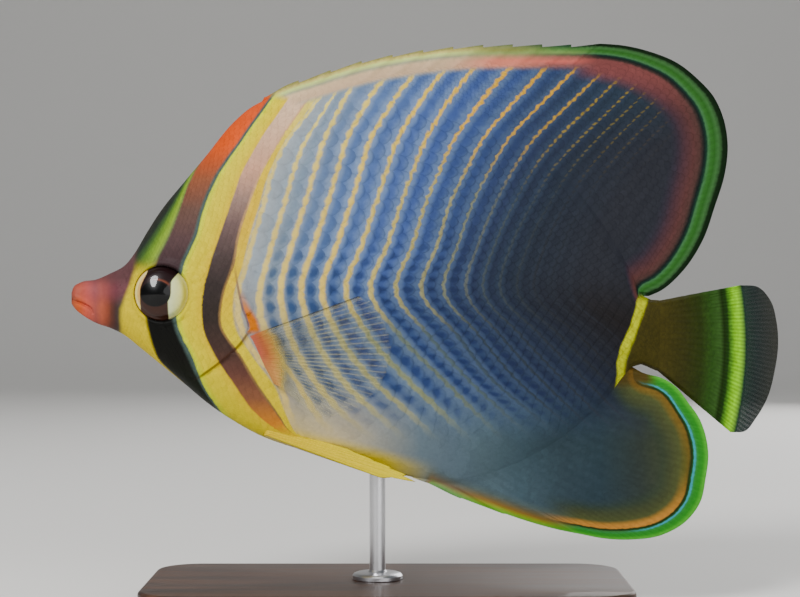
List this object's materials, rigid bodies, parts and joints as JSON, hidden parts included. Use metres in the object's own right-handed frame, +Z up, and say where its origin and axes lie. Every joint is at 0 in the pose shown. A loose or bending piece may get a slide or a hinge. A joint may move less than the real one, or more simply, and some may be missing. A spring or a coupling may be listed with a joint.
{
  "type": "triangular butterflyfish",
  "caption": "Still, life-size model of a triangular butterflyfish, swimming level with its fins spread, on a flat wooden base with one steel rod.",
  "frame": {"origin": "the floor under the middle of the object's box; the stand rests on the floor at height zero", "axes": "+X from the snout to the tail, +Y towards the fish's right side, +Z up"},
  "size_m": [0.1424, 0.046, 0.1132],
  "materials": {
    "skin_blue": "wet scaled skin, blue dots and golden lines",
    "skin_yellow": "wet scaled skin, yellow and dark bands",
    "fin_maroon": "fine-scaled fin, dark with a bright margin",
    "fin_olive": "fine-scaled fin, olive",
    "fin_clear": "clear fin membrane on pale rays",
    "snout": "smooth bare skin, orange red",
    "eye": "wet and clear",
    "stand_wood": "dark stain, satin",
    "stand_steel": "brushed"
  },
  "bodies": {
    "root": {"head": "skin_yellow", "lower_jaw": "snout", "gill_cover_left": "skin_yellow", "gill_cover_right": "skin_yellow", "eye_left": "eye", "eye_right": "eye", "trunk": "skin_blue", "tail_base": "fin_olive", "dorsal_fin_spiny": "fin_maroon", "dorsal_fin_soft": "fin_maroon", "anal_fin_spiny": "fin_olive", "anal_fin_soft": "fin_maroon", "tail_fin": "fin_olive", "pectoral_fin_left": "fin_clear", "pectoral_fin_right": "fin_clear", "pelvic_fin_left": "skin_yellow", "pelvic_fin_right": "skin_yellow", "stand_base": "stand_wood", "stand_rod": "stand_steel"}
  },
  "joints": []
}
